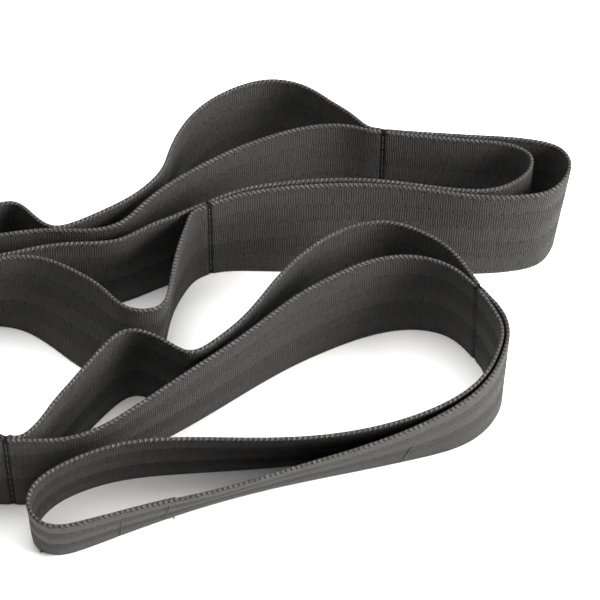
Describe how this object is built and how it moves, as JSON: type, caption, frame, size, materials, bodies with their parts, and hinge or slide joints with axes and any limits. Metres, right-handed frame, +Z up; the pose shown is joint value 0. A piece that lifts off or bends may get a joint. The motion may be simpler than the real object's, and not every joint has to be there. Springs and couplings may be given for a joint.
{
  "type": "stretching strap",
  "caption": "Flat dark webbing strap sewn across at intervals into a chain of loops for hands and feet, lying on its edge in a loose heap.",
  "frame": {"origin": "middle of the heap, on the surface that the strap lies on", "axes": "+Z up along the width of the webbing, +X along the longer side of the heap, +Y towards its back"},
  "size_m": [0.4553, 0.2638, 0.038],
  "materials": {
    "webbing": "matt woven webbing with faint lengthwise bands",
    "thread": "matt sewing thread"
  },
  "bodies": {
    "loop_1": {"loop_1_band": "webbing", "lapped_end": "webbing", "lap_stitching": "thread"},
    "loop_2": {"loop_2_short_ply": "webbing", "loop_2_long_ply": "webbing", "seam_1_stitching": "thread"},
    "loop_3": {"loop_3_short_ply": "webbing", "loop_3_long_ply": "webbing", "seam_2_stitching": "thread"},
    "loop_4": {"loop_4_short_ply": "webbing", "loop_4_long_ply": "webbing", "seam_3_stitching": "thread"},
    "loop_5": {"loop_5_short_ply": "webbing", "loop_5_long_ply": "webbing", "seam_4_stitching": "thread"},
    "loop_6": {"loop_6_short_ply": "webbing", "loop_6_long_ply": "webbing", "seam_5_stitching": "thread", "seam_6_stitching": "thread"},
    "loop_7": {"loop_7_short_ply": "webbing", "loop_7_long_ply": "webbing", "seam_7_stitching": "thread"},
    "loop_8": {"loop_8_short_ply": "webbing", "loop_8_long_ply": "webbing", "seam_8_stitching": "thread"},
    "loop_9": {"loop_9_short_ply": "webbing", "loop_9_long_ply": "webbing", "seam_9_stitching": "thread"},
    "loop_10": {"loop_10_band": "webbing"}
  },
  "joints": [
    {"name": "seam_1_fold", "type": "hinge", "parent": "loop_2", "child": "loop_1", "pos_m": [0.19275, -0.03315, 0.019], "axis": [0, 0, 1], "range_deg": [0, 20]},
    {"name": "seam_2_fold", "type": "hinge", "parent": "loop_3", "child": "loop_2", "pos_m": [0.039, -0.0973, 0.019], "axis": [0, 0, 1], "range_deg": [-14, 2]},
    {"name": "seam_3_fold", "type": "hinge", "parent": "loop_4", "child": "loop_3", "pos_m": [-0.14301, -0.11204, 0.019], "axis": [0, 0, 1], "range_deg": [-20, 0]},
    {"name": "seam_4_fold", "type": "hinge", "parent": "loop_5", "child": "loop_4", "pos_m": [-0.08893, -0.03592, 0.019], "axis": [0, 0, 1], "range_deg": [-12, 0]},
    {"name": "seam_5_fold", "type": "hinge", "parent": "loop_6", "child": "loop_5", "pos_m": [0.09465, 0.0107, 0.019], "axis": [0, 0, 1], "range_deg": [0, 5]},
    {"name": "seam_6_fold", "type": "hinge", "parent": "loop_6", "child": "loop_7", "pos_m": [0.15757, 0.04992, 0.019], "axis": [0, 0, 1], "range_deg": [-25, 0]},
    {"name": "seam_7_fold", "type": "hinge", "parent": "loop_7", "child": "loop_8", "pos_m": [-0.01, -0.0094, 0.019], "axis": [0, 0, 1], "range_deg": [-20, 8]},
    {"name": "seam_8_fold", "type": "hinge", "parent": "loop_8", "child": "loop_9", "pos_m": [-0.19082, 0.01473, 0.019], "axis": [0, 0, 1], "range_deg": [-18, 18]},
    {"name": "seam_9_fold", "type": "hinge", "parent": "loop_9", "child": "loop_10", "pos_m": [-0.08905, 0.08422, 0.019], "axis": [0, 0, 1], "range_deg": [-30, 8]}
  ]
}
